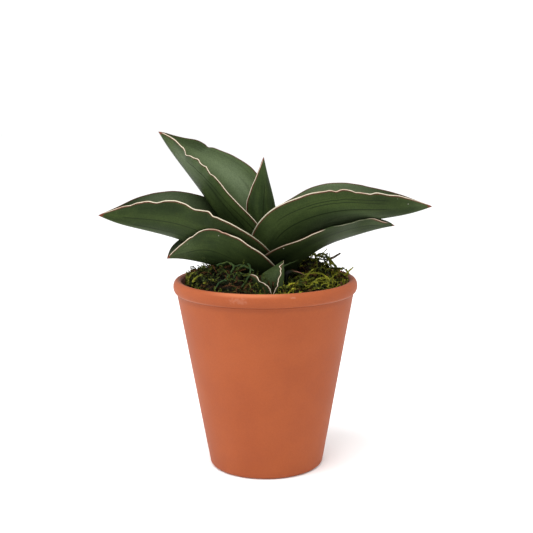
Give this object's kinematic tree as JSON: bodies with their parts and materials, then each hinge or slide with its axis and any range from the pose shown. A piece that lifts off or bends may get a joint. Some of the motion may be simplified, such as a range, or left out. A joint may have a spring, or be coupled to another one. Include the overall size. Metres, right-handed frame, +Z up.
{
  "type": "potted snake plant",
  "caption": "Potted snake plant: broad folded leaves with pale margins in two ranks, a small pup and moss, in a tapered clay pot with a rolled rim.",
  "frame": {"origin": "middle of the pot's base, on the surface it stands on", "axes": "+Z up, +X to the viewer's right, -Y towards the viewer (the plant's front, with the pup)"},
  "size_m": [0.2306, 0.13, 0.2375],
  "materials": {
    "terracotta": "matte",
    "soil": "matte",
    "rhizome": "matte",
    "leaf": "satin",
    "pup_leaf": "satin",
    "moss": "matte"
  },
  "bodies": {
    "root": {"pot": "terracotta", "soil": "soil", "rhizome": "rhizome", "leaf_spear": "leaf", "leaf_left_back": "leaf", "leaf_right_long": "leaf", "leaf_left_long": "leaf", "leaf_right_low": "leaf", "leaf_left_low": "leaf", "pup_leaf_right": "pup_leaf", "pup_leaf_left": "pup_leaf", "pup_leaf_slender": "pup_leaf", "pup_leaf_small": "pup_leaf", "moss_front_left": "moss", "moss_front_right": "moss", "moss_back_left": "moss", "moss_back_right": "moss"}
  },
  "joints": []
}
